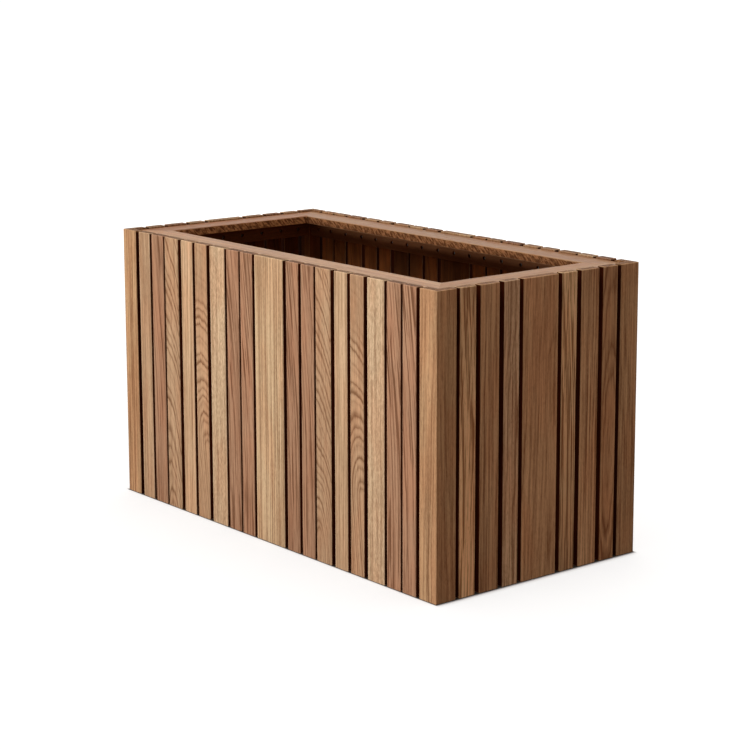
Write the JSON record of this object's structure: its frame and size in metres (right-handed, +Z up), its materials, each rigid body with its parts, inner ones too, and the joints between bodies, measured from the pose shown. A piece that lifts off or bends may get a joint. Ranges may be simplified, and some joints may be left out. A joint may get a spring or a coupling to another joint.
{
  "type": "planter box",
  "caption": "Rectangular timber planter box with upright wall slats, corner posts, a mitred top rim, inner rails and a slatted drainage floor.",
  "frame": {"origin": "centre of the box's footprint, on the ground plane", "axes": "+X along the long walls, +Y from the front long wall to the back one, +Z up"},
  "size_m": [0.8, 0.4, 0.45],
  "materials": {
    "wall_slat_wood": "oiled hardwood with upright grain",
    "post_wood": "oiled hardwood with upright grain",
    "rim_wood": "oiled hardwood, planed smooth, grain along each board",
    "rail_wood": "sawn hardwood, matt",
    "floor_wood": "sawn hardwood, matt",
    "dowel_wood": "plain beech dowel",
    "screw_steel": "stainless steel, satin"
  },
  "bodies": {
    "root": {"back_slat_pair_a": "wall_slat_wood", "back_slat_pair_b": "wall_slat_wood", "back_slat_pair_c": "wall_slat_wood", "back_slat_pair_d": "wall_slat_wood", "back_slat_pair_e": "wall_slat_wood", "back_slat_pair_f": "wall_slat_wood", "back_slat_pair_g": "wall_slat_wood", "back_slat_pair_h": "wall_slat_wood", "back_slat_wide": "wall_slat_wood", "corner_post_back_left": "post_wood", "corner_post_back_right": "post_wood", "corner_post_front_left": "post_wood", "corner_post_front_right": "post_wood", "floor_boards": "floor_wood", "frame_screws": "screw_steel", "front_slat_01": "wall_slat_wood", "front_slat_02": "wall_slat_wood", "front_slat_03": "wall_slat_wood", "front_slat_04": "wall_slat_wood", "front_slat_05": "wall_slat_wood", "front_slat_06": "wall_slat_wood", "front_slat_07": "wall_slat_wood", "front_slat_08": "wall_slat_wood", "front_slat_09": "wall_slat_wood", "front_slat_10": "wall_slat_wood", "front_slat_11": "wall_slat_wood", "front_slat_12": "wall_slat_wood", "front_slat_13": "wall_slat_wood", "front_slat_14": "wall_slat_wood", "front_slat_15": "wall_slat_wood", "front_slat_16": "wall_slat_wood", "front_slat_wide": "wall_slat_wood", "left_slat_01": "wall_slat_wood", "left_slat_02": "wall_slat_wood", "left_slat_03": "wall_slat_wood", "left_slat_04": "wall_slat_wood", "left_slat_05": "wall_slat_wood", "left_slat_06": "wall_slat_wood", "left_slat_wide": "wall_slat_wood", "lower_rail_back": "rail_wood", "lower_rail_front": "rail_wood", "lower_rail_left": "rail_wood", "lower_rail_right": "rail_wood", "rail_dowels": "dowel_wood", "right_slat_01": "wall_slat_wood", "right_slat_02": "wall_slat_wood", "right_slat_03": "wall_slat_wood", "right_slat_04": "wall_slat_wood", "right_slat_05": "wall_slat_wood", "right_slat_06": "wall_slat_wood", "right_slat_wide": "wall_slat_wood", "rim_board_back": "rim_wood", "rim_board_front": "rim_wood", "rim_board_left": "rim_wood", "rim_board_right": "rim_wood", "slat_screws": "screw_steel", "upper_rail_back": "rail_wood", "upper_rail_front": "rail_wood", "upper_rail_left": "rail_wood", "upper_rail_right": "rail_wood"}
  },
  "joints": []
}
